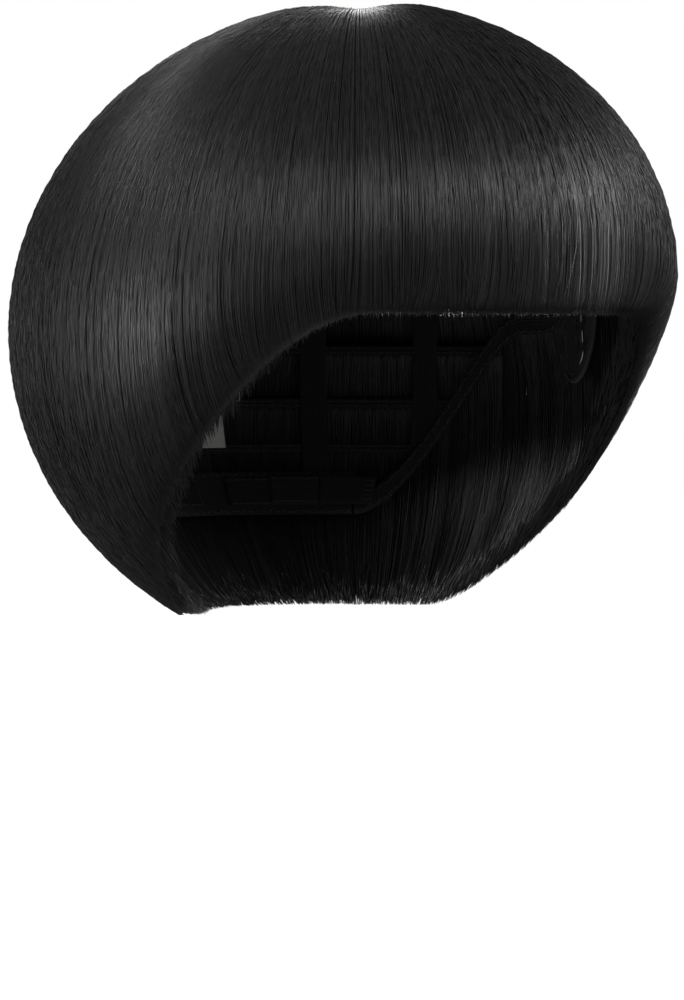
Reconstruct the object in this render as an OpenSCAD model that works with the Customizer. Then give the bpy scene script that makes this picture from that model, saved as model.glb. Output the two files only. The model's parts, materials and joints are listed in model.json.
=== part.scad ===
/* [Head] */
// Half width of the head at its widest line
head_half_width = 76.5; // [68:0.5:92]
// Half length of the head, from the middle to the forehead or the back
head_half_length = 97.5; // [81:0.5:117]
// Height of the crown of the head above its widest line
head_crown_height = 93.5; // [78:0.5:112]
// How far below the widest line the head would close if it went on curving in
head_lower_depth = 103.5; // [90:0.5:124]

/* [Cap] */
// Room between the head and the cap
cap_ease = 1.5; // [1:0.25:3]
// Thickness of the crown net
net_thick = 0.8; // [0.6:0.1:1.2]
// Thickness of tapes, bands and ribbons
tape_thick = 0.8; // [0.5:0.1:1]
// Space between two layers of the cap
layer_gap = 0.2; // [0.1:0.05:0.4]
// Tilt of the cap's edge at the forehead, counted down from the crown
edge_tilt_front = 57; // [50:1:64]
// Tilt of the cap's edge over the ears
edge_tilt_ear = 86; // [80:1:90]
// Tilt of the cap's edge at the nape
edge_tilt_nape = 123; // [116:1:128]
// Tilt at which the net ends and the open wefts start, at the back
net_tilt_back = 60; // [54:1:63]
// Radius of the whorl patch
whorl_patch_r = 21; // [16:1:26]
// Width of the band inside the forehead
front_band_w = 15; // [10:1:20]
// Width of the binding over the ears
binding_w = 7; // [5:1:9]
// Width of the elastic ribbons that run down the back
ribbon_w = 9; // [6:1:12]

/* [Ear tabs] */
// Width of an ear tab, along the edge of the cap
ear_tab_w = 24; // [19:1:30]
// Length of an ear tab, below the edge of the cap
ear_tab_len = 26; // [18:1:30]
// Width of the bendable stay in an ear tab
stay_w = 3; // [2:0.5:5]
// Length of the stay
stay_len = 20; // [14:1:24]

/* [Nape adjusters] */
// Height of the adjuster straps
strap_h = 11; // [8:1:13]
// Length of the elastic part of a strap, from its sewn end to its hook tape
strap_len = 20; // [14:1:24]
// Length of the hook tape on the end of a strap
hook_tape_len = 17; // [12:1:20]
// How far a strap can be pulled in along the nape
strap_travel = 16; // [10:1:18]
// Gap between the middle of the nape and a strap that is pulled right in
strap_centre_gap = 6; // [3:1:10]

/* [Care label] */
// Width of the blank care label
label_w = 22; // [15:1:30]
// Length of the care label, from its sewn edge
label_len = 28; // [20:1:34]

/* [Hair] */
// Depth of hair over the cap at the sides
hair_side_depth = 28; // [18:1:36]
// Depth of hair over the cap at the forehead
hair_front_depth = 11; // [8:1:20]
// Depth of hair over the cap at the back
hair_back_depth = 47; // [32:1:56]
// Depth of hair over the crown
hair_crown_depth = 25; // [16:1:34]
// Height of the fringe's edge above the widest line of the head
fringe_edge_h = 14; // [8:1:20]
// Drop of the nape hair's edge below the widest line of the head
nape_edge_drop = 86; // [74:1:92]
// Height of the fullest line of the hair at the front
full_line_front_h = 38; // [30:1:46]
// Height of the fullest line of the hair at the back
full_line_back_h = 8; // [0:1:16]
// Depth of hair at the fringe's edge
rim_front_depth = 6; // [5:0.5:9]
// Depth of hair at the edge over the ears
rim_side_depth = 17; // [13:0.5:23]
// Depth of hair at the edge of the nape
rim_back_depth = 10; // [8:0.5:14]
// How far the ends of the hair roll under, in degrees
curl_under = 60; // [45:1:70]
// Depth of the dip at the whorl
whorl_dip = 3; // [1:0.5:5]
// Radius of the dip at the whorl
whorl_dip_r = 14; // [10:1:20]

/* [Hidden] */

hair_colour = "#1d1d1f";
net_colour = "#26262a";
tape_colour = "#17171a";
stay_colour = "#b9bcc0";
label_colour = "#f2f1ec";

// The cap's inner face is an oval dome: half width, half length, height and lower depth
cap_w = head_half_width + cap_ease;
cap_l = head_half_length + cap_ease;
cap_up = head_crown_height + cap_ease;
cap_down = head_lower_depth + cap_ease;

// Distances from the cap's inner face out to each layer of the cap
inner_tape_top = layer_gap;
inner_tape_base = inner_tape_top - tape_thick;
net_base = inner_tape_top + layer_gap;
net_top = net_base + net_thick;
ribbon_base = net_top + layer_gap;
ribbon_top = ribbon_base + tape_thick;
hair_base = ribbon_top + 3 * layer_gap;

// The edge of the cap goes down between these azimuths, and the edge of the hair between those
edge_temple_a = 38;
edge_temple_span = 50;
edge_ear_a = 95;
edge_ear_span = 50;
rim_temple_a = 34;
rim_span = 86;
full_line_a = 10;
full_line_span = 90;

// One step of azimuth, which every hair node shares, so that their faces stay parallel
step_a = 7.5;
// Hair nodes that lie side by side stay this far apart, in degrees
part_a = 0.2;
// Share of the hair's depth that the crown hair takes, and that each gap takes
crown_share = 0.2;
share_gap = 0.03;
root_share = 0.03;
// Share of a strand's way in which a weft rises from its track, and the crown hair thins
weft_rise = 0.3;
crown_rise = 0.45;
whorl_start = 0.012;
// How round the top of the hair is: 2 is a true oval, and less is more pointed
roundness = 1.96;

// The back wefts' tracks: the height of each and the azimuth of its end, lowest first
back_tracks = [[-50, 135], [-34, 127.5], [-18, 120], [1, 105], [18, 67.5], [34, 67.5], [50, 67.5]];
back_share = (1 - crown_share) / len(back_tracks);
fringe_count = 3;
fringe_share = (1 - crown_share) / fringe_count;
fringe_first_tilt = 3;
fringe_tilt_step = 7;
fringe_end_a = 67.5;

// Two bodies that move apart keep this gap
body_gap = 0.5;
// Azimuths of the ear tabs and of the ribbons beside the centre one
ear_tab_a = 70;
ribbon_inner_a = 153;
ribbon_outer_a = 127;

// The adjusters move on a circle that follows the nape closely, about a vertical axis
nape_fit = 1.05;
nape_tape_gap = 0.6;
loop_tape_top = inner_tape_base - nape_tape_gap;
loop_tape_base = loop_tape_top - tape_thick;
strap_top = loop_tape_base - body_gap;
strap_base = strap_top - tape_thick;
strap_tilt = edge_tilt_nape - degrees(strap_h / 2 + 3, cap_down);
strap_axis_y = ((cap_l + strap_top) - nape_fit * pow(cap_w + strap_top, 2) / (cap_l + strap_top))
    * sin(strap_tilt);
strap_r = cap_radius(180, strap_tilt, strap_top) - strap_axis_y;
hook_tape_start = strap_centre_gap + strap_travel;
strap_start = hook_tape_start + hook_tape_len + body_gap;

// The care label hangs from here, just inside the centre ribbon
label_top_z = -6;
label_thick = 0.4;
label_off = ribbon_base - body_gap;

// ---------- curves ----------

function clamp01(x) = min(max(x, 0), 1);
function smooth(x) = let (c = clamp01(x)) c * c * (3 - 2 * c);
function ease_out(x) = sin(90 * clamp01(x));
function mix(from, to, share) = from + (to - from) * share;
function degrees(length, radius) = length / radius * 180 / PI;

// Azimuth 0 is the front, 90 is the wearer's left and 180 is the back; both sides are alike
function from_front(a) = a > 180 ? 360 - a : abs(a);
function place(a, r, z) = [r * sin(a), -r * cos(a), z];
function oval(a, w, front, back) =
    1 / sqrt(pow(sin(a) / w, 2) + pow(cos(a) / (cos(a) > 0 ? front : back), 2));

// A point of the cap, at a tilt counted down from the crown, and out by off from its inner face
function cap_height(tilt, off) = (tilt < 90 ? cap_up + off : cap_down + off) * cos(tilt);
function cap_radius(a, tilt, off) = oval(a, cap_w + off, cap_l + off, cap_l + off) * sin(tilt);
function cap_point(a, tilt, off) = place(a, cap_radius(a, tilt, off), cap_height(tilt, off));
function tilt_at(z, off) = acos(z / ((z > 0 ? cap_up : cap_down) + off));

// The edge of the cap
function edge_tilt(a) =
    edge_tilt_front
    + (edge_tilt_ear - edge_tilt_front) * smooth((from_front(a) - edge_temple_a) / edge_temple_span)
    + (edge_tilt_nape - edge_tilt_ear) * smooth((from_front(a) - edge_ear_a) / edge_ear_span);

// The edge of the hair, and how far the hair stands off the cap there
function rim_z(a) = mix(fringe_edge_h, -nape_edge_drop, smooth((from_front(a) - rim_temple_a) / rim_span));
function rim_tilt(a) = tilt_at(rim_z(a), hair_base);
function rim_r(a) =
    cap_radius(a, rim_tilt(a), hair_base)
    + oval(a, rim_side_depth, rim_front_depth, rim_back_depth);

// The fullest line of the hair
function full_r(a) =
    oval(a, cap_w + hair_side_depth, cap_l + hair_front_depth, cap_l + hair_back_depth);
function full_z(a) =
    mix(full_line_front_h, full_line_back_h, smooth((from_front(a) - full_line_a) / full_line_span));

// The outer face of the hair: over the crown to the fullest line, then rolled under to the rim
function roll_centre(a) = (rim_r(a) - full_r(a) * cos(curl_under)) / (1 - cos(curl_under));
function outer_r(a, turn) =
    turn < 90 ? full_r(a) * pow(sin(turn), 2 / roundness)
    : mix(roll_centre(a), full_r(a), cos(turn - 90));
function outer_z(a, turn) =
    turn < 90 ? mix(full_z(a), cap_up + hair_crown_depth, pow(cos(turn), 2 / roundness))
    : mix(full_z(a), rim_z(a), sin(turn - 90) / sin(curl_under));
function outer(a, way) =
    let (turn = way * (90 + curl_under), r = outer_r(a, turn))
    place(a, r, outer_z(a, turn) - whorl_dip * exp(-pow(r / whorl_dip_r, 2)));

// The inner face of the hair, just clear of the cap
function inner(a, way) = cap_point(a, way * rim_tilt(a), hair_base);

// A point of the hair: way runs from the whorl to the rim, and share from the cap outwards
function hair(a, way, share) = mix(inner(a, way), outer(a, way), share);

// ---------- solids from grids of points ----------

function counted(first, last, n) = [for (i = [0 : n]) mix(first, last, i / n)];

// The closed solid between two grids of points; a ring joins its last column to its first
module between(top, base, ring = false) {
    rows = len(top);
    cols = len(top[0]);
    under = rows * cols;
    last_col = ring ? cols - 1 : cols - 2;
    function at(i, j) = i * cols + j % cols;
    sheet = [for (i = [0 : rows - 2], j = [0 : last_col])
        each [[at(i, j), at(i, j + 1), at(i + 1, j + 1)], [at(i, j), at(i + 1, j + 1), at(i + 1, j)]]];
    head = [for (j = [0 : last_col]) [at(0, j + 1), at(0, j)]];
    foot = [for (j = [0 : last_col]) [at(rows - 1, j), at(rows - 1, j + 1)]];
    start = ring ? [] : [for (i = [0 : rows - 2]) [at(i, 0), at(i + 1, 0)]];
    end = ring ? [] : [for (i = [0 : rows - 2]) [at(i + 1, cols - 1), at(i, cols - 1)]];
    rim = concat(head, foot, start, end);
    polyhedron(
        points = [for (grid = [top, base]) each [for (row = grid) each row]],
        faces = concat(
            sheet,
            [for (t = sheet) [t[2] + under, t[1] + under, t[0] + under]],
            [for (e = rim) each [[e[0], e[1], e[1] + under], [e[0], e[1] + under, e[0] + under]]]));
}

// A piece of the cap between two tilts, which may change with the azimuth
module cap_piece(azimuths, first_tilt, last_tilt, base, top, rows, ring = false) {
    function grid(off) = [for (k = counted(0, 1, rows))
        [for (a = azimuths) cap_point(a, mix(first_tilt(a), last_tilt(a), k), off)]];
    between(grid(top), grid(base), ring);
}

// A strip of even width that runs down the cap at one azimuth
module down_strip(a_mid, width, tilts, base, top) {
    function grid(off) = [for (tilt = tilts)
        let (half = degrees(width / 2, cap_radius(a_mid, tilt, off)))
        [for (a = [a_mid - half, a_mid, a_mid + half]) cap_point(a, tilt, off)]];
    between(grid(top), grid(base));
}

// A lock of hair between two azimuths; its start and its two faces are functions of the place
module lock(first_a, last_a, rows, first_way, base_share, top_share) {
    azimuths = counted(first_a + part_a, last_a - part_a, round((last_a - first_a) / step_a));
    function grid(share) = [for (k = counted(0, 1, rows)) [for (a = azimuths)
        let (way = mix(first_way(a), 1, k)) hair(a, way, share(a, way))]];
    color(hair_colour) between(grid(top_share), grid(base_share));
}

// A weft: its hair rises from a track on the cap to its own layer and ends at the rim
module weft(first_a, last_a, track, low_share, high_share) {
    start = function (a) track(a) / rim_tilt(a);
    rise = function (a, way) ease_out((way - start(a)) / weft_rise);
    lock(first_a, last_a, 12, start,
        function (a, way) low_share * rise(a, way),
        function (a, way) low_share * rise(a, way)
            + mix(root_share, high_share - low_share - share_gap, rise(a, way)));
}

module fringe_weft(n) {
    weft(-fringe_end_a, fringe_end_a,
        function (a) edge_tilt(a) - fringe_first_tilt - fringe_tilt_step * n,
        fringe_share * n, fringe_share * (n + 1));
}

module back_weft(n) {
    track_z = back_tracks[n][0];
    end_a = back_tracks[n][1];
    weft(end_a, 360 - end_a, function (a) tilt_at(track_z, hair_base), back_share * n, back_share * (n + 1));
}

// One sixth of the crown hair, which fans out from the whorl and covers the wefts
module crown_hair(first_a) {
    lock(first_a, first_a + 60, 20, function (a) whorl_start,
        function (a, way) mix(root_share, 1 - crown_share, ease_out(way / crown_rise)),
        function (a, way) 1);
}

// ---------- cap ----------

module crown_net() {
    hole_tilt = asin(whorl_patch_r * 0.6 / cap_l);
    net_step_a = step_a / 2;
    open_share = function (a) smooth((from_front(a) - fringe_end_a) / 30);
    color(net_colour)
        cap_piece(counted(0, 360 - net_step_a, round(360 / net_step_a) - 1),
            function (a) hole_tilt,
            function (a) mix(edge_tilt(a), net_tilt_back, open_share(a)),
            net_base, net_top, 10, ring = true);
}

// A round patch on the crown; its grid is a square drawn out to a disc
module whorl_patch() {
    steps = counted(-1, 1, 8);
    function on_cap(x, y, off) =
        [x, y, (cap_up + off) * sqrt(1 - pow(x / (cap_w + off), 2) - pow(y / (cap_l + off), 2))];
    function grid(off) = [for (v = steps) [for (u = steps)
        on_cap(whorl_patch_r * v * sqrt(1 - u * u / 2), whorl_patch_r * u * sqrt(1 - v * v / 2), off)]];
    color(net_colour) between(grid(ribbon_top), grid(ribbon_base));
}

module front_band() {
    band_tilt = degrees(front_band_w, (cap_l + cap_up) / 2);
    end_a = edge_temple_a + edge_temple_span / 2;
    color(tape_colour)
        cap_piece(counted(-end_a, end_a, 22), function (a) edge_tilt(a) - band_tilt,
            function (a) edge_tilt(a), inner_tape_base, inner_tape_top, 2);
}

module ear_binding(side) {
    binding_tilt = degrees(binding_w, (cap_w + cap_up) / 2);
    first_a = edge_temple_a + edge_temple_span / 2 + 0.5;
    last_a = edge_ear_a + edge_ear_span - 0.5;
    azimuths = side > 0 ? counted(first_a, last_a, 20) : counted(-last_a, -first_a, 20);
    color(tape_colour)
        cap_piece(azimuths, function (a) edge_tilt(a) - binding_tilt,
            function (a) edge_tilt(a), inner_tape_base, inner_tape_top, 1);
}

module nape_band() {
    band_tilt = degrees(strap_h + 6, cap_down);
    end_a = edge_ear_a + edge_ear_span;
    color(tape_colour)
        cap_piece(counted(end_a, 360 - end_a, 16), function (a) edge_tilt(a) - band_tilt,
            function (a) edge_tilt(a), inner_tape_base, inner_tape_top, 2);
}

// An elastic ribbon from the net down to the edge of the cap
module ribbon(a) {
    color(tape_colour)
        down_strip(a, ribbon_w, counted(net_tilt_back - 6, edge_tilt(a) - 1, 9), ribbon_base, ribbon_top);
}

// ---------- ear tabs ----------

// The tab hangs from the cap's edge and narrows to a round end; its top edge is straight,
// and meets the curve of the cap's edge at the tab's middle
module ear_tab(side) {
    half_a = degrees(ear_tab_w / 2, cap_w);
    gap_tilt = degrees(body_gap, cap_up);
    edge_slope = (edge_tilt(ear_tab_a + half_a) - edge_tilt(ear_tab_a - half_a)) / (2 * half_a);
    top_tilt = function (a) edge_tilt(ear_tab_a) + gap_tilt + edge_slope * (abs(a) - ear_tab_a);
    tab_tilt = function (a) degrees(ear_tab_len, cap_up)
        * sqrt(1 - 0.75 * pow((abs(a) - ear_tab_a) / half_a, 2));
    color(net_colour)
        cap_piece(counted(side * ear_tab_a - half_a, side * ear_tab_a + half_a, 10),
            top_tilt, function (a) top_tilt(a) + tab_tilt(a), net_base, net_top, 4);
}

// The bendable stay lies along the middle of the tab's inner face
module ear_stay(side) {
    first_tilt = edge_tilt(ear_tab_a) + degrees((ear_tab_len - stay_len) / 2 + body_gap, cap_up);
    color(stay_colour)
        down_strip(side * ear_tab_a, stay_w,
            counted(first_tilt, first_tilt + degrees(stay_len, cap_up), 5),
            inner_tape_base, inner_tape_top);
}

// ---------- nape adjusters ----------

// A piece of tape on the cone round the adjusters' axis, from one place along the nape to another
module nape_tape(side, first, last, base, top) {
    function corner(tilt, off) = [cap_radius(180, tilt, off) - strap_axis_y, cap_height(tilt, off)];
    half_tilt = degrees(strap_h / 2, cap_down);
    mirror([side > 0 ? 0 : 1, 0, 0])
        translate([0, strap_axis_y, 0])
            rotate([0, 0, 90 - degrees(last, strap_r)])
                rotate_extrude(angle = degrees(last - first, strap_r), $fn = 120)
                    polygon([corner(strap_tilt - half_tilt, base), corner(strap_tilt - half_tilt, top),
                        corner(strap_tilt + half_tilt, top), corner(strap_tilt + half_tilt, base)]);
}

module loop_tape(side) {
    color(tape_colour)
        nape_tape(side, strap_centre_gap, strap_centre_gap + strap_travel + hook_tape_len,
            loop_tape_base, loop_tape_top);
}

module hook_tape(side) {
    color(tape_colour)
        nape_tape(side, hook_tape_start, hook_tape_start + hook_tape_len, strap_base, strap_top);
}

module adjuster_strap(side) {
    color(net_colour)
        nape_tape(side, strap_start, strap_start + strap_len, strap_base, strap_top);
}

// ---------- care label ----------

// A plain flap, sewn to the centre ribbon along its top edge
module care_label() {
    label_tilt = tilt_at(label_top_z, label_off);
    hem = cap_point(180, label_tilt, label_off);
    foot = cap_point(180, label_tilt + degrees(label_len, cap_down), label_off);
    lean = atan2(foot[1] - hem[1], hem[2] - foot[2]);
    color(label_colour)
        translate(hem)
            rotate([lean, 0, 0])
                translate([-label_w / 2, -label_thick, -label_len])
                    cube([label_w, label_thick, label_len]);
}

// ---------- the wig ----------

crown_net();
whorl_patch();
front_band();
ear_binding(1);  // ear_binding_left
ear_binding(-1);  // ear_binding_right
nape_band();
ribbon(180);  // ribbon_centre
ribbon(ribbon_inner_a);  // ribbon_inner_left
ribbon(-ribbon_inner_a);  // ribbon_inner_right
ribbon(ribbon_outer_a);  // ribbon_outer_left
ribbon(-ribbon_outer_a);  // ribbon_outer_right
ear_tab(1);  // ear_tab_left
ear_tab(-1);  // ear_tab_right
ear_stay(1);  // ear_stay_left
ear_stay(-1);  // ear_stay_right
loop_tape(1);  // loop_tape_left
loop_tape(-1);  // loop_tape_right
adjuster_strap(1);  // adjuster_strap_left
adjuster_strap(-1);  // adjuster_strap_right
hook_tape(1);  // hook_tape_left
hook_tape(-1);  // hook_tape_right
care_label();
fringe_weft(0);  // fringe_weft_1
fringe_weft(1);  // fringe_weft_2
fringe_weft(2);  // fringe_weft_3
back_weft(0);  // back_weft_1
back_weft(1);  // back_weft_2
back_weft(2);  // back_weft_3
back_weft(3);  // back_weft_4
back_weft(4);  // back_weft_5
back_weft(5);  // back_weft_6
back_weft(6);  // back_weft_7
crown_hair(0);  // crown_hair_front_left
crown_hair(60);  // crown_hair_side_left
crown_hair(120);  // crown_hair_back_left
crown_hair(180);  // crown_hair_back_right
crown_hair(240);  // crown_hair_side_right
crown_hair(300);  // crown_hair_front_right
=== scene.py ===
"""Builds the visible pieces of a bowl-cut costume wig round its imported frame."""
import json
import math

import bpy
import numpy as np
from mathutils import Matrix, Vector


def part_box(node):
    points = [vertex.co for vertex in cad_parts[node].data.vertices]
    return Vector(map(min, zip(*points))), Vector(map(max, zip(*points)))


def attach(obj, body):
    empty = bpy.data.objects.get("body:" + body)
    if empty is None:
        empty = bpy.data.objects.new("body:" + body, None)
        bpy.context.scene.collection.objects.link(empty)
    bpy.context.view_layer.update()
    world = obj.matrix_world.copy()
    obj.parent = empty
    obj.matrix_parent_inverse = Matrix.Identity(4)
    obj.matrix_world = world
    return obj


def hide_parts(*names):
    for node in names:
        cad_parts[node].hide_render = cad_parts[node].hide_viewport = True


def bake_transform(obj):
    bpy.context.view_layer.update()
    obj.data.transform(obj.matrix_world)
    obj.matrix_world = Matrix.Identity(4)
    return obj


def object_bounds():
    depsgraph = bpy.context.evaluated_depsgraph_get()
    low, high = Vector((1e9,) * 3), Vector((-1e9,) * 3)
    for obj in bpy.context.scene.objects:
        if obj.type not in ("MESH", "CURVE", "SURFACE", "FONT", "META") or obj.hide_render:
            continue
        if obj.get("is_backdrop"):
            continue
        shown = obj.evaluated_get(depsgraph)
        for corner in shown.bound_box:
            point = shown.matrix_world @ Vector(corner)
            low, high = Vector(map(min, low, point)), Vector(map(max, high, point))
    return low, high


bl_info = {
    "name": "Bowl Cut Wig",
    "version": (1, 0, 0),
    "blender": (4, 5, 0),
    "location": "View3D > Sidebar > Wig",
    "description": "Builds the hair, cap, ear tabs, nape adjusters and label of a costume wig",
    "category": "Add Mesh",
}

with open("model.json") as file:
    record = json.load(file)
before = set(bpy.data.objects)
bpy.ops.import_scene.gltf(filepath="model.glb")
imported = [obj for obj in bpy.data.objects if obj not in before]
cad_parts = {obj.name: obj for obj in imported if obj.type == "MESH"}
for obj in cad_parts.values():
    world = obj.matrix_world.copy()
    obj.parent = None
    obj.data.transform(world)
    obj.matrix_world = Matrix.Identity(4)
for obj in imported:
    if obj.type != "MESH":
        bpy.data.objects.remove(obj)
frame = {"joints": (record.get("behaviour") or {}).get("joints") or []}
MODEL_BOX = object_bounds()

X, Y, Z = 0, 1, 2
BODY = "wig"
SIDES = {"left": 1, "right": -1}
FIBRE_UV = "OFBake"
CLOTH_UV = "cloth"

# How far each layer of the cap stands out of the cap's inner face, in metres
TAPE_BASE = -0.0006
TAPE_TOP = 0.0002
NET_BASE = 0.0004
NET_TOP = 0.0012
RIBBON_BASE = 0.0014
RIBBON_TOP = 0.0022
HAIR_BASE = 0.0028

# The edge of the cap: tilts from the crown, and the azimuths between which it goes down
EDGE_TILTS = (57, 86, 123)
EDGE_TEMPLE = (38, 50)
EDGE_EAR = (95, 50)
EDGE_END = EDGE_EAR[0] + EDGE_EAR[1]
BAND_END = EDGE_TEMPLE[0] + EDGE_TEMPLE[1] / 2
NET_TILT_BACK = 60

# The wefts: the back ones' track heights and end azimuths, lowest first, and the fringe's tilts
BACK_TRACKS = (
    (-0.050, 135),
    (-0.034, 127.5),
    (-0.018, 120),
    (0.001, 105),
    (0.018, 67.5),
    (0.034, 67.5),
    (0.050, 67.5),
)
FRINGE_TILTS = (3, 10, 17)
FRINGE_END = 67.5
CROWN_SHARE = 0.2
WEFT_RISE = 0.3

# Azimuths of the ribbons down the back of the cap
RIBBONS = {
    "ribbon_centre": 180,
    "ribbon_inner_left": 153,
    "ribbon_inner_right": -153,
    "ribbon_outer_left": 127,
    "ribbon_outer_right": -127,
}

# The crown hair's locks and the azimuth at which each one starts
CROWN_LOCKS = {
    "front_left": 0,
    "side_left": 60,
    "back_left": 120,
    "back_right": 180,
    "side_right": 240,
    "front_right": 300,
}
LOCK_SPAN = 60


def low(node, axis):
    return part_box(node)[0][axis]


def high(node, axis):
    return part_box(node)[1][axis]


# The cap's inner face is an oval dome, and the hair's fullest line is an oval round it
CAP_WIDTH = high("ear_binding_left", X) - TAPE_TOP
CAP_LENGTH = high("ribbon_centre", Y) - RIBBON_TOP
CAP_RISE = high("whorl_patch", Z) - RIBBON_TOP
CAP_DROP = low("nape_band", Z) / math.cos(math.radians(EDGE_TILTS[2])) - TAPE_TOP
HAIR_WIDTH = high("crown_hair_side_left", X)
HAIR_FRONT = -low("crown_hair_front_left", Y)
HAIR_BACK = high("crown_hair_back_left", Y)
NAPE_EDGE = low("crown_hair_back_left", Z)
PATCH_RADIUS = high("whorl_patch", Y)

# The thickness of elastics and tapes, the clearance of moving pieces, and the width above which a
# band's cloth area is worked out
TAPE_THICK = 0.0008
MOVING_GAP = 0.0005
SMALLEST_SHEET = 0.01

# The ear tabs and their stays
TAB_AZIMUTH = 70
TAB_WIDTH = 0.024
STAY_WIDTH = 0.003
STAY_LENGTH = 0.020

# The nape adjusters, which move on a circle about their joint's axis
JOINTS = {joint["name"]: joint for joint in frame["joints"]}
PILE_GAP = 0.0006
LOOP_BASE = TAPE_BASE - PILE_GAP - TAPE_THICK
STRAP_TOP = LOOP_BASE - MOVING_GAP
STRAP_BASE = STRAP_TOP - TAPE_THICK
SEAM = 0.003
STRAP_HEIGHT = 0.011
STRAP_LENGTH = 0.020
HOOK_LENGTH = 0.017
STRAP_TRAVEL = 0.016
STRAP_TILT = EDGE_TILTS[2] - math.degrees((STRAP_HEIGHT / 2 + SEAM) / CAP_DROP)
STRAP_AXIS_Y = JOINTS["strap_pull_left"]["pos_m"][Y]
STRAP_RADIUS = (CAP_LENGTH + STRAP_TOP) * math.sin(math.radians(STRAP_TILT)) - STRAP_AXIS_Y


# ---------------------------------------------------------------- sizes and colours


def length_size(name, description, default):
    return bpy.props.FloatProperty(
        name=name, description=description, default=default, unit="LENGTH"
    )


def angle_size(name, description, degrees):
    return bpy.props.FloatProperty(
        name=name, description=description, default=math.radians(degrees), subtype="ANGLE"
    )


def colour_choice(name, description, default):
    return bpy.props.FloatVectorProperty(
        name=name, description=description, default=default, subtype="COLOR", size=3
    )


class WigHair(bpy.types.PropertyGroup):
    """Sizes and colours of the hair"""

    crown_depth: length_size("Crown depth", "Depth of hair over the crown", 0.025)
    fringe_edge: length_size("Fringe edge", "Height of the fringe's edge", 0.014)
    full_front: length_size(
        "Fullest line, front", "Height of the fullest line at the front", 0.038
    )
    full_back: length_size("Fullest line, back", "Height of the fullest line at the back", 0.008)
    rim_depth: bpy.props.FloatVectorProperty(
        name="Rim depth", description="Depth of hair at the rim: front, side and back",
        default=(0.006, 0.017, 0.010), size=3, unit="LENGTH",
    )
    curl: angle_size("Curl under", "How far the ends roll under", 60)
    roundness: bpy.props.FloatProperty(
        name="Roundness", description="2 is a true oval over the crown, less is more pointed",
        default=1.96,
    )
    dip_depth: length_size("Whorl dip", "Depth of the dip at the whorl", 0.003)
    dip_radius: length_size("Whorl dip radius", "Radius of the dip", 0.014)
    lock_strands: bpy.props.IntProperty(
        name="Strands in a lock", description="Strands in each layer of a crown hair lock",
        default=1850,
    )
    weft_density: bpy.props.FloatProperty(
        name="Weft density", description="Strands in each centimetre of weft", default=62
    )
    strand_width: length_size("Strand width", "Width of one strand of fibres", 0.00030)
    flyaway_share: bpy.props.FloatProperty(
        name="Flyaways", description="Share of the strands that stand off the rest",
        default=0.012, subtype="FACTOR",
    )
    dark: colour_choice(
        "Dark fibre", "Colour of the darkest strands", (0.0040, 0.0040, 0.0044)
    )
    light: colour_choice(
        "Light fibre", "Colour of the lightest strands", (0.013, 0.0125, 0.0125)
    )


class WigCap(bpy.types.PropertyGroup):
    """Sizes and colours of the cap"""

    net_cell: length_size("Net cell", "Width of one cell of the knitted net", 0.0027)
    net_thread: length_size("Net thread", "Width of the net's thread", 0.00034)
    front_width: length_size("Front band width", "Width of the band over the forehead", 0.015)
    binding_width: length_size("Ear binding width", "Width of the edging over the ears", 0.007)
    ribbon_width: length_size("Ribbon width", "Width of the elastic ribbons", 0.009)
    tab_length: length_size("Ear tab length", "Length of the ear tabs", 0.026)
    rib_pitch: length_size("Rib pitch", "Distance between the ribs of an elastic", 0.0011)
    rib_depth: length_size("Rib depth", "Depth of the ribs", 0.00011)
    stitch: length_size("Stitch length", "Length of one stitch", 0.0024)
    thread: length_size("Thread width", "Width of the sewing thread", 0.00032)
    cloth: colour_choice("Cloth", "Colour of the net and elastics", (0.014, 0.014, 0.016))
    label: colour_choice("Label", "Colour of the care label", (0.80, 0.79, 0.75))


class WigStage(bpy.types.PropertyGroup):
    """Sizes of the stage"""

    azimuth: angle_size("Camera azimuth", "Where the camera stands round the wig", -37)
    elevation: angle_size("Camera elevation", "How far the camera looks down", 2)
    distance: length_size("Camera distance", "From the camera to its target", 1.7)
    view_height: length_size(
        "View height", "Height of what the camera sees at its target", 0.339
    )
    target_side: length_size(
        "Target, sideways", "The target's place to the right of the crown", -0.0061
    )
    target_height: length_size(
        "Target height", "The target's height above the cap's widest line", -0.0493
    )
    floor_drop: length_size("Floor drop", "From the lowest hair down to the floor", 0.16)


def hair_sizes():
    return bpy.context.scene.wig_hair


def cap_sizes():
    return bpy.context.scene.wig_cap


# ---------------------------------------------------------------- curves of the cap and the hair
# Azimuths and tilts are in degrees: 0 is the front, 90 the wearer's left and 180 the back.


def smooth(x):
    x = np.clip(x, 0, 1)
    return x * x * (3 - 2 * x)


def ease_out(x):
    return np.sin(np.pi / 2 * np.clip(x, 0, 1))


def mix(start, end, share):
    return start + (end - start) * share


def sin_deg(a):
    return np.sin(np.radians(a))


def cos_deg(a):
    return np.cos(np.radians(a))


def from_front(a):
    return np.abs((np.asarray(a, float) + 180) % 360 - 180)


def place(a, r, z):
    return np.stack(np.broadcast_arrays(r * sin_deg(a), -r * cos_deg(a), z), axis=-1)


def oval(a, width, front, back):
    length = np.where(cos_deg(a) > 0, front, back)
    return 1 / np.sqrt((sin_deg(a) / width) ** 2 + (cos_deg(a) / length) ** 2)


def cap_radius(a, tilt, off):
    return oval(a, CAP_WIDTH + off, CAP_LENGTH + off, CAP_LENGTH + off) * sin_deg(tilt)


def cap_height(tilt, off):
    return np.where(np.asarray(tilt) < 90, CAP_RISE, CAP_DROP) * cos_deg(tilt) + off * cos_deg(tilt)


def cap_point(a, tilt, off):
    return place(a, cap_radius(a, tilt, off), cap_height(tilt, off))


def tilt_at(z, off):
    z = np.asarray(z, float)
    return np.degrees(np.arccos(z / (np.where(z > 0, CAP_RISE, CAP_DROP) + off)))


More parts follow.
